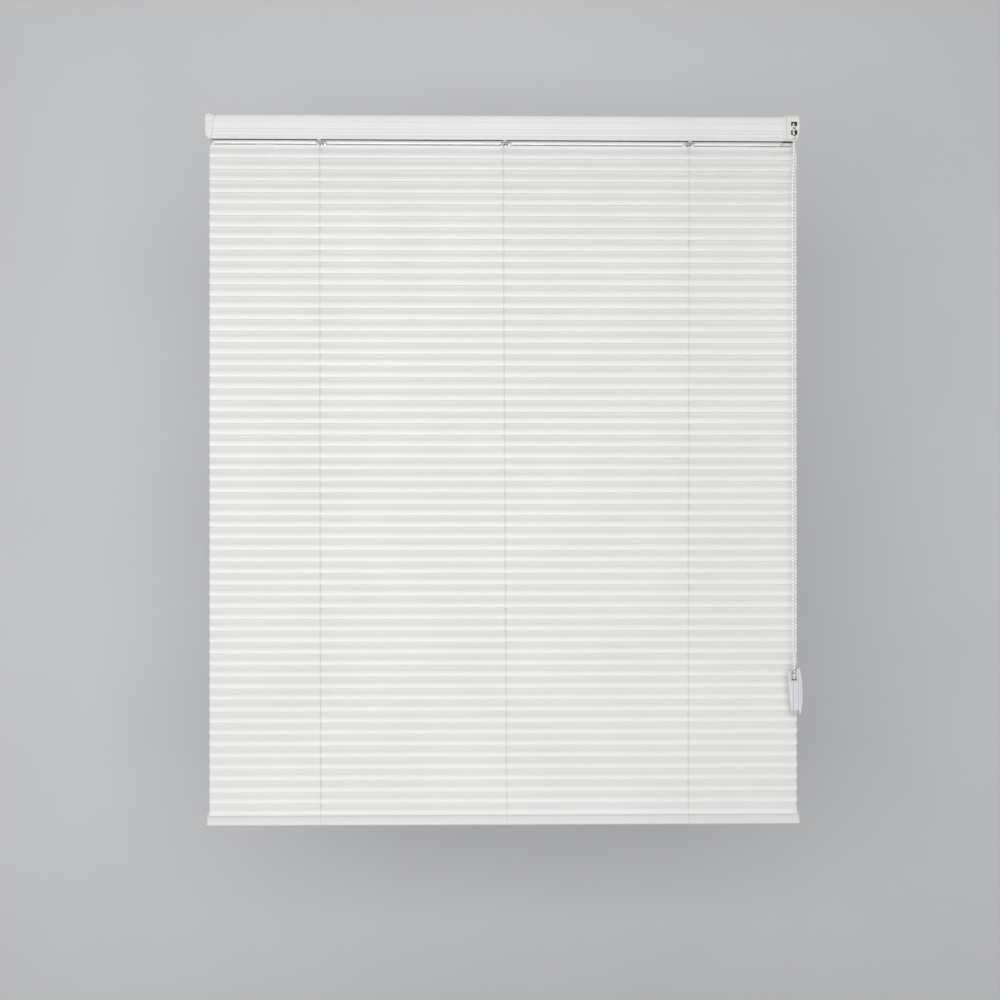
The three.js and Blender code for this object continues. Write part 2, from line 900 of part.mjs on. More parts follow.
function pairAt(z) {
  const upper = linkSeat(slatShares.at(-3), slatShares.at(-2), z + ladderPitch / 2);
  const lower = linkSeat(slatShares.at(1), slatShares.at(2), z - ladderPitch / 2);
  const link = [...upper, ...lower.reverse()];
  return combined([
    slatAt(z + ladderPitch / 2),
    slatAt(z - ladderPitch / 2),
    ...Object.values(stations).map((x) => alongX(link, x - linkWidth / 2, x + linkWidth / 2)),
  ]);
}

// Ladder cords: over the drum, down in front of the slats, around the bottom rail and up behind them
function leaveAngle(y) {
  const drop = railHeight - shaftDrop;
  return Math.atan2(drop, y) - Math.acos(drumRadius / Math.hypot(y, drop));
}

function ladderAt(x) {
  const start = Math.PI / 2 - ladderEndGap / 2 / drumRadius;
  const rear = [
    ...arc(x, 0, shaftZ, drumRadius, start, -leaveAngle(stringY)),
    [x, stringY, -railHeight],
  ];
  const front = rear.map(([px, y, z]) => [px, -y, z]);
  const beyond = cordRadius + fit;
  const wide = bottomWidth / 2 + beyond;
  const thick = bottomThick / 2 + beyond;
  const corners = [leaning(wide, thick), leaning(wide, -thick), leaning(-wide, -thick)];
  return cord([
    ...front,
    [x, -stringY, lastZ - tipZ],
    ...corners.map(([y, z]) => [x, y, z]),
    [x, stringY, lastZ],
    ...rear.reverse(),
  ], cordRadius);
}

// Lift cords: from the drum's second groove, down behind the slats to the rear edge of the bottom rail
function liftCordAt(station) {
  const x = station + liftOffset;
  const [, edgeZ] = leaning(-bottomWidth / 2, bottomThick / 2);
  return cord([
    ...arc(x, 0, shaftZ, drumRadius, Math.PI / 2, -leaveAngle(liftBack)),
    [x, liftBack, -railHeight],
    [x, liftBack, edgeZ],
  ], cordRadius);
}

// Brackets around the rail's back, set behind its front edge, with screw holes above and behind
function bracketAt(x) {
  const low = -railHeight - fit;
  const back = railBack + fit;
  const outline = [
    [-bracketReach, fit],
    [back, fit],
    [back, low],
    [railBack - bracketLip, low],
    [railBack - bracketLip, low - bracketThick],
    [back + bracketThick, low - bracketThick],
    [back + bracketThick, fit + bracketThick],
    [-bracketReach, fit + bracketThick],
  ];
  const holes = [];
  for (const side of [-1, 1]) {
    const above = new THREE.CylinderGeometry(screwRadius, screwRadius, 2 * overrun + bracketThick, smallSides);
    above.rotateX(Math.PI / 2);
    above.translate(x + side * screwSpread, (railBack - bracketReach) / 2, fit + bracketThick / 2);
    const behind = new THREE.CylinderGeometry(screwRadius, screwRadius, 2 * overrun + bracketThick, smallSides);
    behind.translate(x + side * screwSpread, back + bracketThick / 2, -railHeight / 2);
    holes.push(above, behind);
  }
  return combined([alongX(outline, x - bracketWidth / 2, x + bracketWidth / 2)], holes);
}

// Named pieces
const enamel = new THREE.MeshStandardMaterial({ name: 'slat_enamel', color: 0xe9e8e4, roughness: 0.35 });
const railEnamel = new THREE.MeshStandardMaterial({ name: 'rail_enamel', color: 0xececec, roughness: 0.4 });
const plastic = new THREE.MeshStandardMaterial({ name: 'plastic', color: 0xebe8e2, roughness: 0.5 });
const clearWhite = new THREE.MeshStandardMaterial({ name: 'bead', color: 0xf2f1ee, roughness: 0.4 });
const textile = new THREE.MeshStandardMaterial({ name: 'cord', color: 0xf0efea, roughness: 0.9 });
const steel = new THREE.MeshStandardMaterial({ name: 'steel', color: 0xb9bcc0, roughness: 0.35, metalness: 1 });
const acetal = new THREE.MeshStandardMaterial({ name: 'acetal', color: 0xdedcd6, roughness: 0.45 });

const blind = new THREE.Group();
blind.name = 'mini_blind';
function piece(name, shape, material) {
  const geometry = shape instanceof wasm.Manifold ? geometryOf(shape) : shape;
  const mesh = new THREE.Mesh(geometry, material);
  mesh.name = name;
  blind.add(mesh);
  return mesh;
}

piece('headrail', headrail, railEnamel);
piece('end_cap_left', endCap, plastic);
piece('control_housing', controlHousing, plastic);
piece('control_cover', controlCover, plastic);
piece('bracket_left', bracketAt(-bracketSpread), steel);
piece('bracket_right', bracketAt(bracketSpread), steel);
piece('tilt_shaft', tiltShaft, steel);
piece('shaft_gear', shaftGear, acetal);
piece('chain_wheel', chainWheel, acetal);
piece('bead_chain', beadChain, clearWhite);
piece('tensioner_base', tensionerBase, plastic);
piece('tensioner_cover', tensionerCover, plastic);
piece('tensioner_pulley', pulley, acetal);
for (const [name, x] of Object.entries(stations)) {
  piece(`cradle_${name}`, cradleAt(x), acetal);
  piece(`drum_${name}`, drumAt(x), acetal);
  piece(`ladder_${name}`, ladderAt(x), textile);
  piece(`lift_cord_${name}`, liftCordAt(x), textile);
  piece(`ladder_plug_${name}`, ladderPlug(x + plugOffset), plastic);
}
piece('bottom_rail', bottomRail, railEnamel);
piece('bottom_cap_left', bottomCap(bottomLeft, -1), plastic);
piece('bottom_cap_right', bottomCap(bottomRight, 1), plastic);
const firstPairZ = firstZ - ladderPitch / 2;
const pair = geometryOf(pairAt(0));
for (let i = 0; i < pairCount; i += 1) {
  const number = String(i + 1).padStart(2, '0');
  const mesh = piece(`slat_pair_${number}`, pair, enamel);
  mesh.position.set(0, 0, firstPairZ - i * 2 * ladderPitch);
}

export default blind;
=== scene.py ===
import math

import bmesh
import bpy
from mathutils import Matrix, Vector


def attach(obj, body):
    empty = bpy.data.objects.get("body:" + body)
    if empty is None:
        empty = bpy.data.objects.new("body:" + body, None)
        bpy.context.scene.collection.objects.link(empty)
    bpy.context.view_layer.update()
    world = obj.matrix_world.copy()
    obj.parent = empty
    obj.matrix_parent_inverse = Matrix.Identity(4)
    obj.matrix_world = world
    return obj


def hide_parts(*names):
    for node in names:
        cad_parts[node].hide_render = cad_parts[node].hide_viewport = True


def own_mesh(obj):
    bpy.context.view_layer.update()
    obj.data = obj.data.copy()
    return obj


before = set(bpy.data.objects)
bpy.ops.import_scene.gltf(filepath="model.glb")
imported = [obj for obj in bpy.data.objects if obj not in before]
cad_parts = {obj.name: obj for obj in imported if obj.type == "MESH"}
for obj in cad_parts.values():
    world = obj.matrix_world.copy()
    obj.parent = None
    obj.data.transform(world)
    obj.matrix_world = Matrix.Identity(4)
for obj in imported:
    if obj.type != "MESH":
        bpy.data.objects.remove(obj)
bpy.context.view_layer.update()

MM = 0.001
STATIONS = {"left": -332.7, "centre": 3.0, "right": 338.7}
# How far each ladder hangs aside of its drum, under the rail and at the bottom rail
DRIFT = {"left": (-1.2, 1.0), "centre": (-3.0, 4.0), "right": (1.5, 0.5)}

# Slats and ladders
SLAT_LEFT, SLAT_RIGHT = -533.15, 539.15
SLAT_WIDTH = 25.15
SLAT_GAUGE = 0.25
SLAT_CORNER = 3.2
SLAT_PITCH = 21.0
FIRST_SLAT_Z = -61.9
PAIRS = 29
CLOSED = math.radians(75)
STRING_Y = 4.28
STRING_RADIUS = 0.5
RUNG_RADIUS = 0.28
KNOT_RADIUS = 0.95
LIFT_Y = 8.5
LIFT_OFFSET = 5.0
SHAFT_Z = -26.0
DRUM_RADIUS = 9.28

# Headrail, cap and control
RAIL_LEFT, RAIL_RIGHT = -533.95, 508.25
RAIL_HEIGHT = 46.5
RAIL_BACK = 20.0
CHANNEL_FRONT, CHANNEL_BACK = -32.8, -19.6
CHANNEL_TOP = -37.5
SLOT_BACK = CHANNEL_BACK + 0.9
RAIL_SKIN = 0.8
CAP_LEFT = -536.45
TAB_RIGHT = -527.0
CONTROL_LEFT, CONTROL_SEAM, CONTROL_RIGHT = 502.25, 513.65, 536.45
CHAIN_X = 526.05
# The visual collar and cover end this much higher than the CAD's
CONTROL_RISE = 1.3

# Bead chain
WHEEL_Y, WHEEL_REACH = -25.0, 8.8
PULLEY_Y, PULLEY_Z, PULLEY_REACH = -34.95, -1015.0, 6.0
BEAD_RADIUS = 2.25
BEAD_CORD_RADIUS = 0.45
BEAD_PITCH = 6.25

# Bottom rail
BOTTOM_Z = -1278.1
BOTTOM_TILT = math.radians(60)
BOTTOM_LEFT, BOTTOM_RIGHT = -535.6, 541.6
LAST_SLAT_Z = FIRST_SLAT_Z - SLAT_PITCH * (2 * PAIRS - 1)

RAIL_CURVE = [
    (-22.0, 0.0),
    (-28.0, -1.4),
    (-32.5, -5.1),
    (-35.0, -10.2),
    (-36.0, -17.7),
    (-36.0, -31.2),
    (-35.3, -38.0),
    (-34.0, -42.6),
]
RAIL_LIP = [(-33.6, -43.3), (-34.9, -44.0), (-35.4, -45.0), (-35.1, -46.0), (-34.3, -46.5)]
REEDS = [(-7.8, 1.6), (-15.2, 1.8), (-28.6, 1.6), (-34.2, 1.6), (-40.2, 1.8)]
REED_DEPTH = 0.9
SLAT_SECTION = [
    (-0.5, 0.0),
    (-0.42, -0.027),
    (-0.35, -0.048),
    (-0.28, -0.059),
    (-0.2, -0.054),
    (-0.1, -0.029),
    (0.0, 0.003),
    (0.1, 0.031),
    (0.2, 0.049),
    (0.3, 0.051),
    (0.4, 0.034),
    (0.5, 0.0),
]


# Materials
class Wire:
    """A socket in a finish; arithmetic on it adds Math nodes."""

    def __init__(self, finish, socket):
        self.finish = finish
        self.socket = socket

    def maths(self, operation, first, second):
        return self.finish.node("ShaderNodeMath", {"operation": operation}, {0: first, 1: second})

    def __add__(self, other):
        return self.maths("ADD", self, other)

    __radd__ = __add__

    def __sub__(self, other):
        return self.maths("SUBTRACT", self, other)

    def __mul__(self, other):
        return self.maths("MULTIPLY", self, other)

    def __pow__(self, other):
        return self.maths("POWER", self, other)


class Finish:
    """A procedural material, named for the stuff it shows."""

    def __init__(self, name):
        self.material = bpy.data.materials.new(name)
        self.material.use_nodes = True
        self.tree = self.material.node_tree
        self.tree.nodes.clear()
        self.place = self.node("ShaderNodeTexCoord", out="Object")

    def node(self, kind, settings=None, sockets=None, out=0):
        node = self.tree.nodes.new(kind)
        for key, value in (settings or {}).items():
            setattr(node, key, value)
        for key, value in (sockets or {}).items():
            if isinstance(value, Wire):
                self.tree.links.new(value.socket, node.inputs[key])
            else:
                node.inputs[key].default_value = value
        return Wire(self, node.outputs[out])

    def stretched(self, scale):
        return self.node("ShaderNodeMapping", None, {"Vector": self.place, "Scale": scale})

    def noise(self, scale, detail=2.0, roughness=0.5, vector=None):
        sockets = {"Scale": scale, "Detail": detail, "Roughness": roughness}
        return self.node("ShaderNodeTexNoise", None, {"Vector": vector or self.place, **sockets})

    def between(self, share, low, high):
        """A colour between two, by a share from 0 to 1."""
        settings = {"data_type": "RGBA", "clamp_factor": True}
        sockets = {0: share, 6: (*low, 1), 7: (*high, 1)}
        return self.node("ShaderNodeMix", settings, sockets, out=2)

    def surface(self, colour, roughness, height=None, depth=0.0, **plain):
        sockets = {"Base Color": colour, "Roughness": roughness}
        if height is not None:
            bump = {"Height": height, "Distance": depth, "Strength": 1.0}
            sockets["Normal"] = self.node("ShaderNodeBump", None, bump)
        for key, value in plain.items():
            sockets[key.replace("_", " ").title()] = value
        shader = self.node("ShaderNodeBsdfPrincipled", None, sockets)
        self.node_to_output(shader)
        return self.material

    def node_to_output(self, shader):
        output = self.tree.nodes.new("ShaderNodeOutputMaterial")
        self.tree.links.new(shader.socket, output.inputs["Surface"])


def linear(red, green, blue):
    """The linear colour of an 8-bit screen colour."""
    shares = [level / 255 for level in (red, green, blue)]
    return tuple(s / 12.92 if s <= 0.04045 else ((s + 0.055) / 1.055) ** 2.4 for s in shares)


def enamelled(name, low, high, gloss):
    """Baked enamel on a rolled strip: faint drawn lines along X, orange peel and a cloudy coat."""
    finish = Finish(name)
    drawn = finish.noise(1.0, 3.0, 0.6, finish.stretched((2.0, 900.0, 900.0)))
    cloud = finish.noise(7.0, 2.0)
    peel = finish.noise(1100.0, 1.0)
    specks = finish.noise(420.0, 2.0) ** 6
    share = drawn * 0.5 + cloud * 0.7 - specks * 1.2
    colour = finish.between(share, linear(*low), linear(*high))
    roughness = gloss + drawn * 0.1 + cloud * 0.06
    return finish.surface(colour, roughness, peel * 0.6 + drawn * 0.8, 0.00002, coat_roughness=0.2)


def moulded(name, low, high, gloss, grain=900.0, depth=0.00004):
    """Moulded plastic: a fine spark-eroded grain, flow marks and a little yellowing."""
    finish = Finish(name)
    skin = finish.noise(grain, 3.0, 0.65)
    flow = finish.noise(1.0, 2.0, 0.5, finish.stretched((60.0, 60.0, 14.0)))
    colour = finish.between(flow * 0.8 + skin * 0.25, linear(*low), linear(*high))
    return finish.surface(colour, gloss + skin * 0.12 + flow * 0.08, skin, depth)


def braided(name, low, high):
    """A braided cord: crossing diagonal strands along Z, with fuzz."""
    finish = Finish(name)
    slope = {"wave_type": "BANDS", "bands_direction": "DIAGONAL"}
    over = finish.node("ShaderNodeTexWave", slope, {"Vector": finish.place, "Scale": 520.0}, out="Fac")
    under = finish.node(
        "ShaderNodeTexWave",
        slope,
        {"Vector": finish.stretched((-1.0, 1.0, 1.0)), "Scale": 520.0},
        out="Fac",
    )
    weave = over * under
    fuzz = finish.noise(2600.0, 2.0)
    colour = finish.between(weave * 0.8 + fuzz * 0.3, linear(*low), linear(*high))
    return finish.surface(colour, 0.75 + fuzz * 0.2, weave * 0.8 + fuzz * 0.3, 0.00012)


def zinc_plated(name):
    """Pressed steel with a bright zinc plate: rolling lines, a crystalline bloom and light scuffs."""
    finish = Finish(name)
    rolled = finish.noise(1.0, 4.0, 0.7, finish.stretched((30.0, 700.0, 700.0)))
    bloom = finish.node("ShaderNodeTexVoronoi", None, {"Vector": finish.place, "Scale": 260.0})
    scuff = finish.noise(90.0, 5.0, 0.75) ** 4
    colour = finish.between(bloom * 0.5 + rolled * 0.5, linear(168, 172, 176), linear(214, 217, 220))
    roughness = 0.28 + rolled * 0.18 + scuff * 0.6
    return finish.surface(colour, roughness, rolled + scuff, 0.00003, metallic=0.9)


slat_enamel = enamelled("slat_enamel_satin", (228, 227, 225), (241, 240, 238), 0.36)
rail_enamel = enamelled("rail_enamel_satin", (217, 217, 218), (230, 230, 230), 0.4)
# Near-black finish for the inside of the rail's channel: painted shade for the dark line under the rail's
# front
channel_shade_paint = enamelled("rail_channel_painted_shade", (40, 40, 40), (52, 52, 51), 0.6)
warm_plastic = moulded("control_plastic_warm_white", (218, 215, 210), (229, 227, 222), 0.42)
cool_plastic = moulded("tensioner_plastic_cool_white", (213, 211, 216), (226, 224, 229), 0.3, 700.0)
cap_plastic = moulded("end_cap_plastic_white", (213, 213, 213), (225, 225, 224), 0.4)
bead_plastic = moulded("bead_plastic_white", (246, 246, 243), (252, 252, 250), 0.22, 1600.0, 0.00001)
# Dark grey for the filler inside the control: painted shade
painted_shade_plastic = moulded("control_painted_shade_grey", (66, 65, 64), (78, 77, 76), 0.6)
acetal = moulded("acetal_off_white", (206, 203, 196), (222, 219, 212), 0.4, 600.0)
# Near-black for the chain wheel: painted shade, darkening the windows over it
wheel_shade_black = moulded("wheel_painted_shade_black", (24, 24, 25), (38, 38, 38), 0.35, 600.0)
cord_braid = braided("polyester_braid_white", (224, 223, 219), (246, 245, 241))
zinc = zinc_plated("zinc_plated_steel")


# Making and placing pieces
def placed(bm, name, body, finish, slot, *nodes, smooth=32.0):
    bmesh.ops.scale(bm, vec=(MM, MM, MM), verts=bm.verts)
    mesh = bpy.data.meshes.new(name)
    bm.to_mesh(mesh)
    bm.free()
    mesh.shade_smooth()
    mesh.set_sharp_from_angle(angle=math.radians(smooth))
    mesh.materials.append(finish)
    piece = bpy.data.objects.new(name, mesh)
    bpy.context.scene.collection.objects.link(piece)
    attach(piece, body)
    if nodes:
        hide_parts(*nodes)
    return piece


def eased(points, steps):
    """A smooth line through every point, with steps parts to each span."""
    line = []
    for i in range(len(points) - 1):
        before, start = Vector(points[max(i - 1, 0)]), Vector(points[i])
        end, after = Vector(points[i + 1]), Vector(points[min(i + 2, len(points) - 1)])
        for k in range(steps):
            t = k / steps
            bend = (2 * before - 5 * start + 4 * end - after) * t * t
            turn = (3 * start - before - 3 * end + after) * t * t * t
            line.append((2 * start + (end - before) * t + bend + turn) / 2)
    line.append(Vector(points[-1]))
    return line


def prism(outline, x0, x1):
    """A closed solid: an outline in y and z drawn out along X."""
    bm = bmesh.new()
    face = bm.faces.new([bm.verts.new((x0, y, z)) for y, z in outline])
    grown = bmesh.ops.extrude_face_region(bm, geom=[face])["geom"]
    ends = [v for v in grown if isinstance(v, bmesh.types.BMVert)]
    bmesh.ops.translate(bm, verts=ends, vec=(x1 - x0, 0, 0))
    bmesh.ops.recalc_face_normals(bm, faces=bm.faces)
    return bm


def sleeve(outline, x0, x1):
    """An open skin: an outline in y and z drawn out along X, with no ends."""
    bm = bmesh.new()
    ring = [bm.verts.new((x0, y, z)) for y, z in outline]
    edges = [bm.edges.new((a, b)) for a, b in zip(ring, ring[1:] + ring[:1])]
    grown = bmesh.ops.extrude_edge_only(bm, edges=edges)["geom"]
    ends = [v for v in grown if isinstance(v, bmesh.types.BMVert)]
    bmesh.ops.translate(bm, verts=ends, vec=(x1 - x0, 0, 0))
    bmesh.ops.recalc_face_normals(bm, faces=bm.faces)
    return bm


def outward(bm, centre):
    """Turns an open skin's faces away from a point inside it."""
    bmesh.ops.recalc_face_normals(bm, faces=bm.faces)
    lean = sum((f.calc_center_median() - Vector(centre)).dot(f.normal) * f.calc_area() for f in bm.faces)
    if lean < 0:
        bmesh.ops.reverse_faces(bm, faces=bm.faces)


def sliced(bm, point, normal, drop=False):
    """Cuts across at a plane, and drops what lies on its far side if asked."""
    geometry = bm.verts[:] + bm.edges[:] + bm.faces[:]
    bmesh.ops.bisect_plane(bm, geom=geometry, plane_co=point, plane_no=normal, clear_outer=drop)


def opened(bm, chosen):
    """Takes out the faces whose middle is chosen."""
    holes = [f for f in bm.faces if chosen(f.calc_center_median())]
    bmesh.ops.delete(bm, geom=holes, context="FACES")


def rounded(bm, edges, radius, segments=3):
    bmesh.ops.bevel(
        bm,
        geom=edges,
        offset=radius,
        affect="EDGES",
        segments=segments,
        profile=0.5,
        material=-1,
        clamp_overlap=True,
    )


def tube(points, radius, sides=8):
    """A round cord through points, closed at both ends."""
    path = [Vector(p) for p in points]
    bm = bmesh.new()
    start = (path[1] - path[0]).normalized()
    turn = start.to_track_quat("Z", "X").to_matrix().to_4x4()
    turn.translation = path[0]
    ring = bmesh.ops.create_circle(bm, cap_ends=True, segments=sides, radius=radius, matrix=turn)["verts"]
    for i in range(1, len(path)):
        face = next(f for f in bm.faces if set(f.verts) == set(ring))
        grown = bmesh.ops.extrude_discrete_faces(bm, faces=[face])["faces"][0]
        into = (path[i] - path[i - 1]).normalized()
        out = (path[min(i + 1, len(path) - 1)] - path[i]).normalized() if i + 1 < len(path) else into
        along = (into + out).normalized()
        ring = list(grown.verts)
        bend = start.rotation_difference(along)
        bmesh.ops.translate(bm, verts=ring, vec=path[i] - path[i - 1])
        bmesh.ops.rotate(bm, verts=ring, cent=path[i], matrix=bend.to_matrix())
        start = along
    bmesh.ops.recalc_face_normals(bm, faces=bm.faces)
    return bm


def spun(profile, y, z, sides=32):
    """A turned piece about an axis along X, from places along X and radii."""
    bm = bmesh.new()
    row = [bm.verts.new((x, 0, radius)) for x, radius in profile]
    edges = [bm.edges.new(pair) for pair in zip(row, row[1:])]
    bmesh.ops.spin(
        bm,
        geom=row + edges,
        cent=(0, 0, 0),
        axis=(1, 0, 0),
        angle=2 * math.pi,
        steps=sides,
        use_merge=True,
    )
    bmesh.ops.remove_doubles(bm, verts=bm.verts, dist=0.001)
    bmesh.ops.recalc_face_normals(bm, faces=bm.faces)
    bmesh.ops.translate(bm, verts=bm.verts, vec=(0, y, z))
    return bm


def joined(*meshes):
    """Several shapes as one."""
    whole = bmesh.new()
    for bm in meshes:
        part = bpy.data.meshes.new("part")
        bm.to_mesh(part)
        bm.free()
        whole.from_mesh(part)
        bpy.data.meshes.remove(part)
    return whole


def follow(piece, travel):
    """Gives a piece its own copy of its mesh; it does not slide it, and travel is not used.
    """
    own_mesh(piece)


# Slats: a rolled S section with rounded corners, each on the threads of its ladders
SECTION = eased([(a * SLAT_WIDTH, o * SLAT_WIDTH) for a, o in SLAT_SECTION], 2)


def section_height(along):
    for start, end in zip(SECTION, SECTION[1:]):
        if along <= end.x:
            return start.y + (end.y - start.y) * (along - start.x) / (end.x - start.x)
    return SECTION[-1].y


def tipped(middle):
    """From a slat's own length, chord and offset to its closed place about a height."""
    c, s = math.cos(CLOSED), math.sin(CLOSED)
    turn = Matrix(((1, 0, 0, 0), (0, -c, -s, 0), (0, -s, c, 0), (0, 0, 0, 1)))
    return Matrix.Translation((0, 0, middle)) @ turn


def slat_strip():
    bm = bmesh.new()
    half = SLAT_WIDTH / 2
    corners = [(SLAT_LEFT, -half), (SLAT_RIGHT, -half), (SLAT_RIGHT, half), (SLAT_LEFT, half)]
    bm.faces.new([bm.verts.new((x, a, 0)) for x, a in corners])
    bmesh.ops.bevel(
        bm,
        geom=bm.verts[:],
        offset=SLAT_CORNER,
        affect="VERTICES",
        segments=5,
        profile=0.5,
        material=-1,
    )
    for point in SECTION[1:-1]:
        sliced(bm, (0, point.x, 0), (0, 1, 0))
    for vert in bm.verts:
        vert.co.z = section_height(vert.co.y)
    bmesh.ops.solidify(bm, geom=bm.faces[:], thickness=SLAT_GAUGE)
    return bm


def hanging_x(name, z):
    """Where a ladder hangs at a height: it drifts a little aside on its way down."""
    share = (z + RAIL_HEIGHT) / (BOTTOM_Z + RAIL_HEIGHT)
    above, below = DRIFT[name]
    return STATIONS[name] + above + (below - above) * share


def rungs(middle):
    """Two threads under a slat at each ladder, from the front string to the rear one, and their knots."""
    shapes = []
    reach = STRING_Y / math.cos(CLOSED) * 0.775
    for name in STATIONS:
        x = hanging_x(name, middle)
        for side in (-1.1, 1.1):
            line = [(x + side * 0.2, -reach, -0.2)]
            line += [(x + side, p.x, p.y - SLAT_GAUGE - RUNG_RADIUS) for p in SECTION[1:-1:4]]
            line += [(x + side * 0.2, reach, -0.2)]
            shapes.append(tube(line, RUNG_RADIUS, 5))
        for end in (-1, 1):
            knot = bmesh.new()
            place = Matrix.Translation((x, end * reach, -0.2)) @ Matrix.Diagonal((1, 1, 1.5, 1))
            bmesh.ops.create_icosphere(knot, subdivisions=2, radius=KNOT_RADIUS, matrix=place)
            shapes.append(knot)
    return joined(*shapes)


slat_shape = slat_strip()
for i in range(2 * PAIRS):
    pair = i // 2 + 1
    body, joint = f"pair_{pair:02d}", f"pair_{pair:02d}_tilt"
    middle = FIRST_SLAT_Z - SLAT_PITCH * i
    # The two slats of a pair swing about the line between them; back is the shift that would bring each back
    # to its own place, and follow does not use it
    arm = SLAT_PITCH / 2 * (1 if i % 2 == 0 else -1)
    back = (0, -arm * math.sin(CLOSED), -arm * (1 - math.cos(CLOSED)))
    for shape, name, finish, slot, nodes in (
        (slat_shape, f"slat_{i + 1:02d}", slat_enamel, "slat_enamel", [f"slat_pair_{pair:02d}"]),
        (rungs(middle), f"ladder_rungs_{i + 1:02d}", cord_braid, "cord", []),
    ):
        bm = shape.copy()
        bmesh.ops.transform(bm, matrix=tipped(middle), verts=bm.verts)
        bmesh.ops.recalc_face_normals(bm, faces=bm.faces)
        piece = placed(bm, name, body, finish, slot, *nodes, smooth=60.0)
        follow(piece, back)
slat_shape.free()


# Headrail: a rolled skin with a reeded front, open below between the front and the floor
def reeded(curve):
    """Presses a shallow round groove into the curve at each reed's height."""
    line = eased(curve, 6)
    for height, width in REEDS:
        at = next(i for i, p in enumerate(line) if p.y < height)
        start, end = line[at - 1], line[at]
        share = (start.y - height) / (start.y - end.y)
        middle = start.lerp(end, share)
        along = (end - start).normalized()
        inward = Vector((-along.y, along.x))
        if inward.x < 0:
            inward.negate()
        groove = []
        for t, deep in ((-0.5, 0), (-0.28, 0.8), (0, 1), (0.28, 0.8), (0.5, 0)):
            groove.append(middle + along * width * t + inward * REED_DEPTH * deep)
        line = [p for p in line if abs((p - middle).dot(along)) > width * 0.6 or p is line[0]]
        at = next(i for i, p in enumerate(line) if p.y < middle.y)
        line = line[:at] + groove + line[at:]
    return line


rail_front = [tuple(p) for p in reeded(RAIL_CURVE)] + RAIL_LIP
rail_outline = rail_front + [
    (-33.4, -RAIL_HEIGHT),
    (CHANNEL_FRONT - 0.2, -46.2),
    (CHANNEL_FRONT, -45.7),
    (CHANNEL_FRONT, CHANNEL_TOP),
    (CHANNEL_BACK, CHANNEL_TOP),
    (CHANNEL_BACK, -45.5),
    (CHANNEL_BACK + 0.3, -46.2),
    (CHANNEL_BACK + 1.0, -RAIL_HEIGHT),
    (RAIL_BACK - 1.5, -RAIL_HEIGHT),
    (RAIL_BACK - 0.4, -46.1),
    (RAIL_BACK, -45.0),
    (RAIL_BACK, -1.5),
    (RAIL_BACK - 0.4, -0.4),
    (RAIL_BACK - 1.5, 0.0),
]
rail = sleeve(rail_outline, RAIL_LEFT + 5.5, RAIL_RIGHT)
slots = [(x - 5.0, x + 10.0) for x in STATIONS.values()]
for x in [x for slot in slots for x in slot]:
    sliced(rail, (x, 0, 0), (1, 0, 0))
for y in (-13.5, 13.5):
    sliced(rail, (0, y, 0), (0, 1, 0))
opened(rail, lambda c: c.z < -46.4 and abs(c.y) < 13.5 and any(a < c.x < b for a, b in slots))
outward(rail, (0, 0, -20))
channel = rail.copy()


def in_channel(c):
    return CHANNEL_FRONT - 0.1 < c.y < CHANNEL_BACK + 0.1 and CHANNEL_TOP - 9 < c.z < CHANNEL_TOP + 0.1


opened(rail, in_channel)
opened(channel, lambda c: not in_channel(c))
bmesh.ops.solidify(rail, geom=rail.faces[:], thickness=RAIL_SKIN)
bmesh.ops.solidify(channel, geom=channel.faces[:], thickness=RAIL_SKIN)
placed(rail, "headrail_skin", "rail", rail_enamel, "rail_enamel", "headrail", smooth=28.0)
# The channel's faces are finished near-black, as painted shade in the gap under the rail
placed(channel, "headrail_channel", "rail", channel_shade_paint, "rail_enamel", smooth=28.0)


# Grommets: a thin plate in each ladder slot, with a narrow way for the ladder and one for the lift cord
def grommet(x):
    bm = bmesh.new()
    corners = [(x - 6.4, -15.0), (x + 11.4, -15.0), (x + 11.4, 15.0), (x - 6.4, 15.0)]
    bm.faces.new([bm.verts.new((*corner, -RAIL_HEIGHT - 0.9)) for corner in corners])
    bmesh.ops.bevel(bm, geom=bm.verts[:], offset=2.5, affect="VERTICES", segments=4, profile=0.5, material=-1)
    ways = [(x - 1.3, x + 1.3), (x + LIFT_OFFSET - 1.1, x + LIFT_OFFSET + 1.1)]
    for edge in [edge for way in ways for edge in way]:
        sliced(bm, (edge, 0, 0), (1, 0, 0))
    for edge in (-13.0, 13.0):
        sliced(bm, (0, edge, 0), (0, 1, 0))
    opened(bm, lambda c: abs(c.y) < 13.0 and any(a < c.x < b for a, b in ways))
    bmesh.ops.recalc_face_normals(bm, faces=bm.faces)
    bmesh.ops.solidify(bm, geom=bm.faces[:], thickness=-0.9)
    rims = [e for e in bm.edges if e.calc_face_angle(0) > 1.0]
    rounded(bm, rims, 0.25, 2)
    return bm


def guide(x):
    """A small clip that hooks over the channel in front of a ladder."""
    hook = [(-34.0, -45.2), (-34.0, -47.2), (-17.0, -47.2), (-17.0, -46.7), (-32.2, -45.2)]
    clip = prism(hook, x - 2.7, x + 2.7)
    rounded(clip, clip.edges[:], 0.35, 2)
    return clip


for name, x in STATIONS.items():
    placed(grommet(x), f"ladder_grommet_{name}", "rail", cap_plastic, "plastic")
    placed(guide(x), f"ladder_guide_{name}", "rail", cap_plastic, "plastic")


# End cap: a rounded cup over the rail's left end with a raked edge and a raised top
CASE_CURVE = [
    (-24.5, 2.5),
    (-30.5, 1.0),
    (-35.0, -3.0),
    (-37.5, -8.5),
    (-38.5, -16.5),
    (-38.5, -38.0),
    (-38.0, -44.5),
    (-36.0, -47.2),
    (-33.0, -47.6),
]


def case_outline(rise=0.0):
    front = [tuple(p) for p in eased(CASE_CURVE, 4)]
    front = [(y, z + rise if z < -30 else z) for y, z in front]
    return front + [(20.5, -47.6 + rise), (22.5, -45.6 + rise), (22.5, 0.5), (20.5, 2.5)]


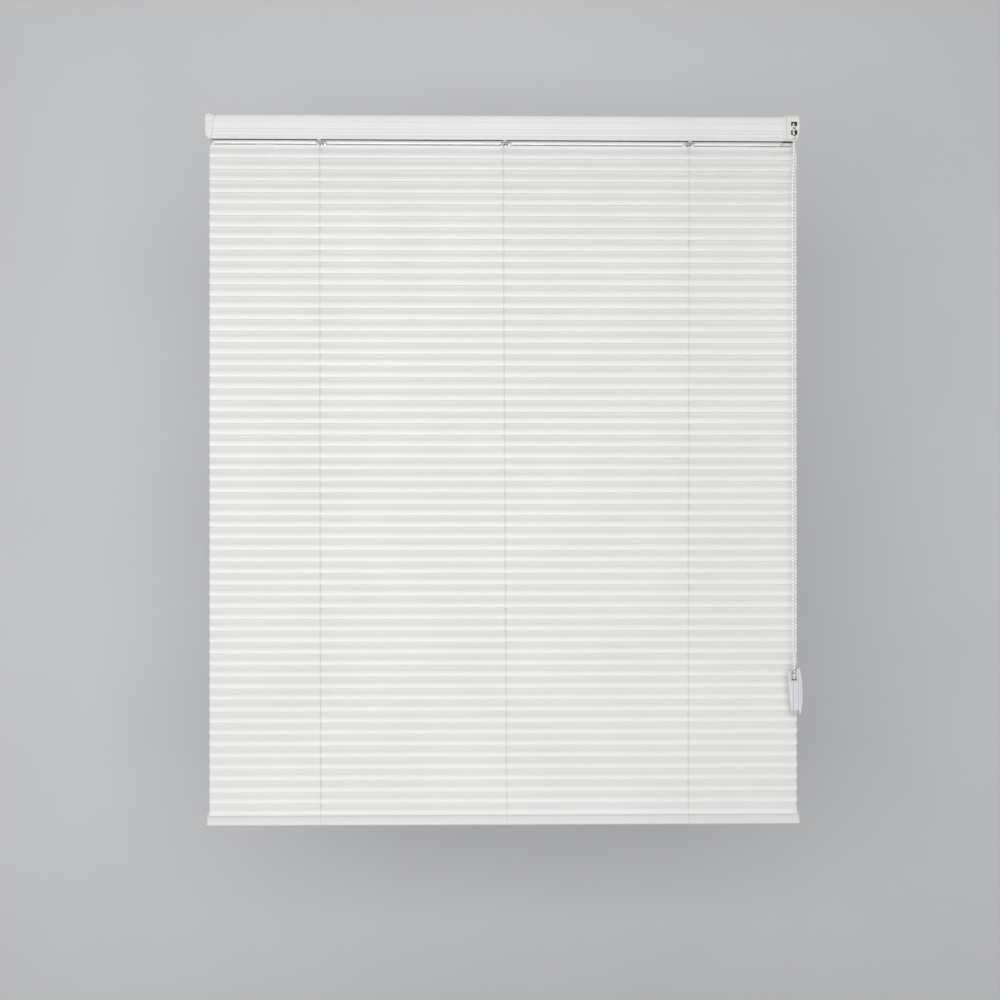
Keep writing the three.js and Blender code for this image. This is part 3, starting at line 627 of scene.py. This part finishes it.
cap = prism(case_outline(), CAP_LEFT, CAP_LEFT + 20)
rake = Vector((-519.35 + 526.25, 0, 2.5 + 47.6))
sliced(cap, (-519.35, 0, 2.5), (rake.z, 0, -rake.x), drop=True)
sliced(cap, (CAP_LEFT, 0, -38.0), (-9.6, 0, -5.5), drop=True)
bmesh.ops.holes_fill(cap, edges=cap.edges[:])
bmesh.ops.recalc_face_normals(cap, faces=cap.faces)
low = [e for e in cap.edges if all(abs(v.co.x - CAP_LEFT) < 0.01 and v.co.z < -30 for v in e.verts)]
rounded(cap, [e for e in low if abs(e.verts[0].co.z - e.verts[1].co.z) < 0.01], 6.0, 5)
outer = [
    e
    for e in cap.edges
    if e.calc_face_angle(0) > 0.5 and any(abs(v.co.x - CAP_LEFT) < 0.01 for v in e.verts)
]
rounded(cap, outer, 2.0, 4)
sliced(cap, (TAB_RIGHT, 0, 0), (1, 0, 0))
sliced(cap, (TAB_RIGHT + 0.5, 0, 0), (1, 0, 0))
for vert in cap.verts:
    if vert.co.x > TAB_RIGHT + 0.1:
        vert.co.z -= 2.2 * max(0.0, (vert.co.z + 9.0) / 11.5)
mouth = [e for e in cap.edges if e.calc_face_angle(0) > 1.0 and all(v.co.x > CAP_LEFT + 8 for v in e.verts)]
rounded(cap, mouth, 0.5, 2)
placed(cap, "end_cap_left_cup", "rail", cap_plastic, "plastic", "end_cap_left", smooth=30.0)


# Control unit: a collar with a pointed edge, and a cover with a barred window over the wheel
collar = sleeve(case_outline(CONTROL_RISE), CONTROL_LEFT - 2, CONTROL_SEAM - 0.3)
for end_z in (2.5, -47.6):
    edge = Vector((6.3, 0, end_z + 13.5))
    away = Vector((-abs(edge.z), 0, edge.x * (1 if edge.z > 0 else -1)))
    sliced(collar, (CONTROL_LEFT, 0, -13.5), away, drop=True)
for y in (CHANNEL_FRONT, SLOT_BACK):
    sliced(collar, (0, y, 0), (0, 1, 0))
opened(collar, lambda c: CHANNEL_FRONT < c.y < SLOT_BACK and c.z < -46)
outward(collar, (508, 0, -20))
bmesh.ops.solidify(collar, geom=collar.faces[:], thickness=2.2)
rims = [e for e in collar.edges if e.calc_face_angle(0) > 1.2]
rounded(collar, rims, 0.5, 2)
placed(collar, "control_collar", "rail", warm_plastic, "plastic", "control_housing", smooth=30.0)

cover = prism(case_outline(CONTROL_RISE), CONTROL_SEAM, CONTROL_RIGHT)
sliced(cover, (CONTROL_RIGHT, 0, -29.5), (14.0, 0, -4.15), drop=True)
sliced(cover, (CONTROL_RIGHT - 4.2, 0, -43.5), (3.5, 0, -2.4), drop=True)
bmesh.ops.holes_fill(cover, edges=cover.edges[:])
bmesh.ops.recalc_face_normals(cover, faces=cover.faces)
right = [
    e
    for e in cover.edges
    if e.calc_face_angle(0) > 0.4 and all(v.co.x > CONTROL_RIGHT - 6 for v in e.verts)
]
rounded(cover, right, 2.2, 4)
opened(cover, lambda c: c.x < CONTROL_SEAM + 0.01)
window = (CHAIN_X - 5.1, CHAIN_X + 6.2)
panes = [(-19.5, -11.5), (-35.8, -27.0)]
way = (CHAIN_X - 1.6, CHAIN_X + 3.0)
for x in (*window, *way, CHAIN_X - 4.45, CHAIN_X + 6.0):
    sliced(cover, (x, 0, 0), (1, 0, 0))
for z in [z for pane in panes for z in pane]:
    sliced(cover, (0, 0, z), (0, 0, 1))
for y in (-36.3, CHANNEL_FRONT, SLOT_BACK, -11.2):
    sliced(cover, (0, y, 0), (0, 1, 0))
opened(
    cover,
    lambda c: (window[0] < c.x < window[1] and c.y < -36.4 and any(a < c.z < b for a, b in panes))
    or (-4.45 < c.x - CHAIN_X < 6.0 and -36.3 < c.y < -11.2 and c.z < -46)
    or (c.x < CHAIN_X and CHANNEL_FRONT < c.y < SLOT_BACK and c.z < -46)
    or (way[0] < c.x < way[1] and c.y < -36.3 and c.z < -19.5),
)
outward(cover, (525, 0, -20))
bmesh.ops.solidify(cover, geom=cover.faces[:], thickness=1.8)
placed(cover, "control_cover_shell", "rail", warm_plastic, "plastic", "control_cover", smooth=30.0)

lip = prism([(-31.3, -37.6), (-29.6, -37.6), (-29.6, -46.6), (-31.3, -46.6)], CHAIN_X - 2.8, CHAIN_X + 4.2)
placed(lip, "control_chain_lip", "rail", warm_plastic, "plastic")
# A dark filler fills the channel inside the collar and cover, and a plate of it stands behind the wheel; its
# dark grey is painted shade for the dark line under the cover and the dark windows
gutter_line = [(CHANNEL_FRONT, -44.6), (CHANNEL_BACK, -44.6), (CHANNEL_BACK, -RAIL_HEIGHT)]
gutter_line += [(SLOT_BACK - 0.1, -RAIL_HEIGHT), (SLOT_BACK - 0.1, -37.7), (CHANNEL_FRONT, -37.7)]
gutter = prism(gutter_line, RAIL_RIGHT + 0.3, CHAIN_X - 2.9)
baffle_line = [(-13.6, -40.0), (-12.9, -40.0), (-12.9, -3.0), (-13.6, -3.0)]
baffle = prism(baffle_line, CONTROL_SEAM + 0.4, CONTROL_RIGHT - 5.8)
placed(joined(gutter, baffle), "control_painted_shade_lining", "rail", painted_shade_plastic, "plastic")
# A pale band round the near-black wheel, where its beads run: painted light behind the beads, while the
# wheel's black is painted shade in the windows
TRACK_RADIUS = 6.5
turns = [math.pi * k / 16 for k in range(32)]
track_ring = [(TRACK_RADIUS * math.cos(t), TRACK_RADIUS * math.sin(t)) for t in turns]
track = sleeve(track_ring, 524.6, 528.6)
bmesh.ops.translate(track, vec=(0, WHEEL_Y, SHAFT_Z), verts=track.verts)
outward(track, (526, WHEEL_Y, SHAFT_Z))
bmesh.ops.solidify(track, geom=track.faces[:], thickness=0.3)
placed(track, "chain_wheel_painted_light_band", "wheel", acetal, "acetal")


# Bead chain: an endless cord with a bead every 6.25 mm, over the wheel and under the pulley
FRONT_LEAN = [(-50, 1.1), (-75, 1.1), (-95, 0.0), (-112, -1.1), (-140, -1.7), (-955, -1.8), (-992, -0.4)]
REAR_LEAN = [(-52, 4.0), (-66, 8.0), (-85, 8.2), (-100, 6.9), (-500, 6.2), (-955, 5.7), (-990, 4.8)]


def chain_path():
    def round_off(y, z, reach, start, end, aside, rise=0.0):
        points = []
        for k in range(25):
            angle = start + (end - start) * k / 24
            far = reach + rise * max(0.0, math.cos((angle - 0.66 * math.pi) * 1.5)) ** 2
            points.append((CHAIN_X + aside, y + far * math.cos(angle), z + far * math.sin(angle)))
        return points

    def strand(side, lean):
        top, low = WHEEL_Y - side * WHEEL_REACH, PULLEY_Y - side * PULLEY_REACH
        return [(CHAIN_X + dx, top + (low - top) * (SHAFT_Z - z) / (SHAFT_Z - PULLEY_Z), z) for z, dx in lean]

    points = round_off(WHEEL_Y, SHAFT_Z, WHEEL_REACH, math.pi, 0, 1.0, 3.9) + strand(-1, REAR_LEAN)
    points += round_off(PULLEY_Y, PULLEY_Z, PULLEY_REACH, 0, -math.pi, 0.4)
    points += reversed(strand(1, FRONT_LEAN))
    return [Vector(p) for p in points]


def spaced(path, pitch):
    """Places along a closed path, at an even pitch close to the one asked for."""
    loop = path + path[:1]
    lengths = [(b - a).length for a, b in zip(loop, loop[1:])]
    count = round(sum(lengths) / pitch)
    step = sum(lengths) / count
    places, travelled, i = [], 0.0, 0
    for k in range(count):
        while travelled + lengths[i] < k * step:
            travelled += lengths[i]
            i += 1
        places.append(loop[i].lerp(loop[i + 1], (k * step - travelled) / lengths[i]))
    return places


chain_line = chain_path()
beads = [tube(chain_line + chain_line[:1], BEAD_CORD_RADIUS, 6)]
for place in spaced(chain_line, BEAD_PITCH):
    bead = bmesh.new()
    bmesh.ops.create_uvsphere(
        bead,
        u_segments=9,
        v_segments=6,
        radius=BEAD_RADIUS,
        matrix=Matrix.Translation(place),
    )
    beads.append(bead)
placed(joined(*beads), "bead_chain_loop", "rail", bead_plastic, "bead", "bead_chain", smooth=60.0)


# Tensioner: a tapered cover with a window and a groove, and a leaf-shaped wing beside it
TENSION_FRONT, TENSION_BACK = -45.3, -26.7
TENSION_TOP, TENSION_SHOULDER, TENSION_LOW = -1001.0, -1006.5, -1084.2
LEAF_BACK, WING_BACK = -43.0, -24.6
CASE_LEFT, CASE_RIGHT = 513.45, 531.85
CASE_WINDOW = (517.95, 529.6)
CASE_WINDOW_LOW = -1027.0
FRONT_WALL_BACK = -43.4


def upright(outline, front, back):
    """A closed solid: an outline in x and z drawn back along Y."""
    bm = bmesh.new()
    face = bm.faces.new([bm.verts.new((x, front, z)) for x, z in outline])
    grown = bmesh.ops.extrude_face_region(bm, geom=[face])["geom"]
    ends = [v for v in grown if isinstance(v, bmesh.types.BMVert)]
    bmesh.ops.translate(bm, verts=ends, vec=(0, back - front, 0))
    bmesh.ops.recalc_face_normals(bm, faces=bm.faces)
    return bm


case = upright(
    [
        (CASE_LEFT, TENSION_SHOULDER),
        (CASE_RIGHT, TENSION_TOP),
        (CASE_RIGHT, TENSION_LOW),
        (CASE_LEFT + 6.0, TENSION_LOW),
    ],
    TENSION_FRONT,
    TENSION_BACK,
)
for vert in case.verts:
    if vert.co.x < 520 and vert.co.y > TENSION_BACK - 0.01:
        vert.co.x += 4.0
front_edges = [e for e in case.edges if all(v.co.y < TENSION_FRONT + 0.01 for v in e.verts)]
rounded(case, [e for e in front_edges if all(v.co.z < -1081 for v in e.verts)], 8.0, 1)
left_edge = [e for e in case.edges if all(v.co.x < 520 and v.co.y < -39 for v in e.verts)]
rounded(case, [e for e in left_edge if e.calc_length() > 60], 1.2, 3)
opened(case, lambda c: c.y > TENSION_BACK - 0.01)
for x in (*CASE_WINDOW, 522.6, 522.7, 523.8, 523.9):
    sliced(case, (x, 0, 0), (1, 0, 0))
for z in (CASE_WINDOW_LOW, CASE_WINDOW_LOW - 1.0):
    sliced(case, (0, 0, z), (0, 0, 1))
sliced(case, (0, FRONT_WALL_BACK, 0), (0, 1, 0))


def in_case_opening(c):
    window = CASE_WINDOW[0] < c.x < CASE_WINDOW[1] and c.z > CASE_WINDOW_LOW and c.y < FRONT_WALL_BACK
    mouth = c.x > CASE_WINDOW[0] and c.z > TENSION_TOP - 2.2 and c.y > FRONT_WALL_BACK
    return window or mouth


opened(case, in_case_opening)
for vert in case.verts:
    if 522.65 < vert.co.x < 523.85 and vert.co.y < -45.2 and vert.co.z < CASE_WINDOW_LOW - 0.5:
        vert.co.y += 2.2
outward(case, (522, -34, -1040))
bmesh.ops.solidify(case, geom=case.faces[:], thickness=1.6)
placed(case, "tensioner_case", "rail", cool_plastic, "plastic", "tensioner_cover", smooth=30.0)

WING_LINE = [
    (535.3, TENSION_TOP),
    (536.9, -1008.6),
    (538.2, -1015.5),
    (539.5, -1027.6),
    (540.4, -1044.5),
    (540.45, -1053.0),
    (540.4, -1061.7),
    (539.4, -1068.4),
    (537.9, -1077.0),
    (536.3, TENSION_LOW),
]
wing_edge = [tuple(p) for p in eased(WING_LINE, 3)]
leaf_foot = [(535.7, TENSION_LOW), (534.3, -1078.0), (533.3, -1070.0), (532.9, -1064.0)]
leaf = upright([(532.9, TENSION_TOP)] + wing_edge + leaf_foot, TENSION_FRONT, LEAF_BACK)
front_edges = [e for e in leaf.edges if all(v.co.y < TENSION_FRONT + 0.01 for v in e.verts)]
rounded(leaf, front_edges, 0.6, 3)
for x in (535.6, 535.7, 537.0, 537.1):
    sliced(leaf, (x, 0, 0), (1, 0, 0))
for z in (-1024.5, -1027.0, -1064.0, -1066.5):
    sliced(leaf, (0, 0, z), (0, 0, 1))
for vert in leaf.verts:
    if 535.65 < vert.co.x < 537.05 and vert.co.y < -45.2 and -1064.1 < vert.co.z < -1026.9:
        vert.co.y += 1.7
foot = [(535.7, TENSION_LOW), (534.0, -1079.0), (532.7, -1075.5), (532.15, -1074.0)]
wing = upright([(532.15, TENSION_TOP)] + wing_edge + foot, LEAF_BACK, WING_BACK)
plate_line = [
    (CASE_LEFT + 4.0, TENSION_SHOULDER),
    (532.8, TENSION_TOP - 0.1),
    (532.8, TENSION_LOW + 0.2),
    (CASE_LEFT + 10.0, TENSION_LOW + 0.1),
]
plate = upright(plate_line, -26.4, WING_BACK)
cheeks = [
    upright([(x0, -1007.0), (x1, -1007.0), (x1, -1028.0), (x0, -1028.0)], -39.5, -26.0)
    for x0, x1 in ((518.2, 521.9), (530.1, 531.6))
]
saddle = upright([(518.3, -1023.2), (531.5, -1023.2), (531.5, -1031.0), (518.3, -1031.0)], -43.6, -42.3)
pin = spun([(519.2, 0), (519.2, 1.6), (533, 1.6), (533, 0)], PULLEY_Y, PULLEY_Z, 16)
tension_base = joined(leaf, wing, plate, pin, saddle, *cheeks)
placed(tension_base, "tensioner_wing", "rail", cool_plastic, "plastic", "tensioner_base", smooth=30.0)


# Ladder strings and lift cords
def leave_angle(y):
    drop = RAIL_HEIGHT + SHAFT_Z
    return math.atan2(drop, y) - math.acos(DRUM_RADIUS / math.hypot(y, drop))


def leaning(across, through):
    c, s = math.cos(BOTTOM_TILT), math.sin(BOTTOM_TILT)
    return -across * c - through * s, BOTTOM_Z - across * s + through * c


def off_drum(x, y, side):
    """From the top of the drum round to where the cord leaves it for a place under the rail."""
    turn = math.pi / 2 + leave_angle(y)
    points = []
    for k in range(9):
        angle = math.pi / 2 - 0.16 - (turn - 0.16) * k / 8
        points.append((x, side * DRUM_RADIUS * math.cos(angle), SHAFT_Z + DRUM_RADIUS * math.sin(angle)))
    return points


def corded(line, name, body, *nodes, radius=STRING_RADIUS):
    """A piece of braided cord along a line."""
    return placed(tube(line, radius, 7), name, body, cord_braid, "cord", *nodes, smooth=60.0)


OPEN_STRING_Y = 13.0
LIFT_TURN = 6.2
# A tail runs inside the end of its string, so it is a little thinner
TAIL_RADIUS = STRING_RADIUS * 0.98
# A string's way round the bottom rail, across it and through it from its middle
WRAP_CORNERS = [
    (0.6, 5.0),
    (10.2, 5.0),
    (12.2, 4.1),
    (13.0, 2.6),
    (13.0, -2.6),
    (12.2, -4.2),
    (10.3, -5.1),
    (-10.3, -5.1),
    (-12.2, -4.2),
    (-13.0, -2.0),
    (-13.0, 0),
]
for name, x in STATIONS.items():
    for side, way in ((-1, "front"), (1, "rear")):
        low = leaning(1.0, 5.0) if side < 0 else leaning(-12.9, 0)
        top_x, foot_x = hanging_x(name, -RAIL_HEIGHT), hanging_x(name, LAST_SLAT_Z - 6)
        line = off_drum(x, STRING_Y, side)
        line += [(top_x, side * STRING_Y, -RAIL_HEIGHT), (foot_x, side * STRING_Y, LAST_SLAT_Z - 6)]
        string = corded(line, f"ladder_{name}_{way}", "rail", f"ladder_{name}")
        follow(string, (0, side * (OPEN_STRING_Y - STRING_Y), 0))
        tail = [(foot_x, side * STRING_Y, LAST_SLAT_Z + 4), (foot_x, side * STRING_Y, LAST_SLAT_Z - 5)]
        tail.append((foot_x, *low))
        tail = corded(tail, f"ladder_{name}_{way}_tail", "rail", radius=TAIL_RADIUS)
        follow(tail, (0, side * (OPEN_STRING_Y - abs(low[0])), BOTTOM_Z - low[1]))
    wrap = [(foot_x, *leaning(*corner)) for corner in WRAP_CORNERS]
    corded(wrap, f"ladder_{name}_wrap", "bottom")
    lift_x = x + LIFT_OFFSET
    end_z = leaning(-12.5, 4.5)[1]
    line = off_drum(lift_x, LIFT_Y, 1) + [(lift_x, LIFT_Y, -RAIL_HEIGHT), (lift_x, LIFT_Y, end_z + 4)]
    lift = corded(line, f"lift_cord_{name}_run", "rail", f"lift_cord_{name}")
    follow(lift, (0, LIFT_TURN, 0))
    edge_y, edge_z = leaning(-12.7, 0)
    tail = [(lift_x, LIFT_Y, end_z + 20), (lift_x, LIFT_Y, end_z + 3), (lift_x, edge_y + 0.5, edge_z + 0.4)]
    tail = corded(tail, f"lift_cord_{name}_tail", "rail", radius=TAIL_RADIUS)
    follow(tail, (0, LIFT_TURN, BOTTOM_Z - edge_z))


# Bottom rail: a closed tube with rounded edges, its caps and ladder plugs
def bottom_section(inset=0.0):
    wide, thick = 12.5 - inset, 4.5 - inset
    corner = [(1.0, 0.55), (0.985, 0.68), (0.94, 0.82), (0.8, 1.0)]
    quarter = [(a * wide, t * thick) for a, t in corner]
    half = quarter + [(-a, t) for a, t in reversed(quarter)]
    whole = half + [(a, -t) for a, t in reversed(half)]
    return [leaning(a, t) for a, t in whole]


bottom = prism(bottom_section(), BOTTOM_LEFT, BOTTOM_RIGHT)
placed(bottom, "bottom_rail_tube", "bottom", rail_enamel, "rail_enamel", "bottom_rail", smooth=30.0)
for name, x0, x1 in (
    ("left", BOTTOM_LEFT - 2.3, BOTTOM_LEFT - 0.3),
    ("right", BOTTOM_RIGHT + 0.3, BOTTOM_RIGHT + 2.3),
):
    end_cap = prism(bottom_section(), x0, x1)
    tip = x0 if name == "left" else x1
    rims = [e for e in end_cap.edges if all(abs(v.co.x - tip) < 0.01 for v in e.verts)]
    rounded(end_cap, rims, 0.9, 3)
    throat = prism(bottom_section(0.8), *sorted((x0 + 1, x0 + 1 + (1.8 if name == "left" else -1.8))))
    cap_name = f"bottom_cap_{name}"
    placed(joined(end_cap, throat), f"{cap_name}_shell", "bottom", cap_plastic, "plastic", cap_name)

for name, x in STATIONS.items():
    profile = [(0.0, 0.0), (4.2, 0.0), (5.0, 0.3), (5.3, 1.0), (5.3, 2.4), (3.0, 2.4), (3.0, 6.8), (0.0, 6.8)]
    plug = spun([(2.4 - t, r) for r, t in profile], 0, 0, 28)
    turn = Matrix.Rotation(math.radians(-90), 4, "Y")
    bmesh.ops.transform(plug, matrix=turn, verts=plug.verts)
    lean = Matrix.Rotation(BOTTOM_TILT, 4, "X")
    y, z = leaning(5.0, -4.8 - 2.4)
    place = Matrix.Translation((x + 25.5, y, z)) @ lean
    bmesh.ops.transform(plug, matrix=place, verts=plug.verts)
    placed(plug, f"ladder_plug_{name}_button", "bottom", cap_plastic, "plastic", f"ladder_plug_{name}")


# Finishes of the solids that are carried over
def finished(finish, *names):
    for name in names:
        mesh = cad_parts[name].data
        mesh.materials.clear()
        mesh.materials.append(finish)


finished(rail_enamel, "bracket_left", "bracket_right")
finished(zinc, "tilt_shaft")
# The wheel's near-black finish is painted shade for the windows over it
finished(wheel_shade_black, "chain_wheel")
finished(acetal, "shaft_gear", "tensioner_pulley")
for name in STATIONS:
    finished(acetal, f"cradle_{name}", f"drum_{name}")


# Floor and backdrop in one sweep
def sweep():
    bm = bmesh.new()
    line = [(-5.0, -2.0), (0.5, -2.0)]
    for k in range(1, 13):
        angle = math.pi / 2 * k / 12
        line.append((0.5 + 0.9 * math.sin(angle), -2.0 + 0.9 * (1 - math.cos(angle))))
    line += [(1.4, 3.5)]
    row = [bm.verts.new((-6.0, y, z)) for y, z in line]
    edges = [bm.edges.new(pair) for pair in zip(row, row[1:])]
    grown = bmesh.ops.extrude_edge_only(bm, edges=edges)["geom"]
    ends = [v for v in grown if isinstance(v, bmesh.types.BMVert)]
    bmesh.ops.translate(bm, verts=ends, vec=(12.0, 0, 0))
    bmesh.ops.recalc_face_normals(bm, faces=bm.faces)
    bmesh.ops.reverse_faces(bm, faces=bm.faces)
    return bm


# The paper is clear from its back, so that it never stands between a view from behind and the blind
paper = Finish("studio_paper")
paper_tone = paper.between(paper.noise(3.0, 2.0), linear(224, 225, 227), linear(230, 231, 232))
front_face = paper.node("ShaderNodeBsdfPrincipled", None, {"Base Color": paper_tone, "Roughness": 0.9})
back_face = paper.node("ShaderNodeBsdfTransparent")
from_behind = paper.node("ShaderNodeNewGeometry", out="Backfacing")
faces = {0: from_behind, 1: front_face, 2: back_face}
paper.node_to_output(paper.node("ShaderNodeMixShader", None, faces))
mesh = bpy.data.meshes.new("studio_sweep")
shape = sweep()
shape.to_mesh(mesh)
shape.free()
mesh.shade_smooth()
mesh.materials.append(paper.material)
studio = bpy.data.objects.new("studio_sweep", mesh)
bpy.context.scene.collection.objects.link(studio)

# Light: an even pale room, a broad lamp in front, a weaker one above it and a faint one over the blind
world = bpy.data.worlds.new("studio_room")
world.use_nodes = True
world.node_tree.nodes["Background"].inputs["Color"].default_value = (1.0, 1.0, 1.0, 1.0)
world.node_tree.nodes["Background"].inputs["Strength"].default_value = 0.25
bpy.context.scene.world = world


def lamp(name, place, aim, width, height, power):
    data = bpy.data.lights.new(name, "AREA")
    data.shape = "RECTANGLE"
    data.size, data.size_y = width, height
    data.energy = power
    light = bpy.data.objects.new(name, data)
    light.location = place
    light.rotation_euler = (Vector(aim) - Vector(place)).to_track_quat("-Z", "Y").to_euler()
    bpy.context.scene.collection.objects.link(light)
    return light


lamp("lamp_front", (-0.4, -3.8, -0.5), (0, 0, -0.65), 2.4, 1.4, 85.0)
lamp("lamp_high", (-0.6, -2.6, 1.2), (0, 0, -0.5), 2.4, 1.2, 13.0)
lamp("lamp_over", (0.0, -0.35, 1.3), (0.0, -0.35, -1.0), 1.6, 0.5, 6.0)
# A thin strip of light between the rail and the top slat shines forward along the rail's underside
lamp_behind = lamp("lamp_behind", (0.0, 0.0105, -0.0485), (0.0, -0.9857, 0.0387), 1.06, 0.002, 0.0075)
lamp_behind.data.spread = math.radians(50)
lamp_behind.visible_camera = False

camera_data = bpy.data.cameras.new("camera")
camera_data.lens = 36 * 1.75424
camera_data.sensor_width = 36
camera = bpy.data.objects.new("camera", camera_data)
camera_data.shift_x, camera_data.shift_y = 0.03853, -0.00127
camera.location = (-0.1501, -3.2, -0.6944)
camera.rotation_euler = (math.radians(90), 0, math.radians(-1.341))
bpy.context.scene.collection.objects.link(camera)
bpy.context.scene.camera = camera
bpy.context.scene.view_settings.view_transform = "Standard"
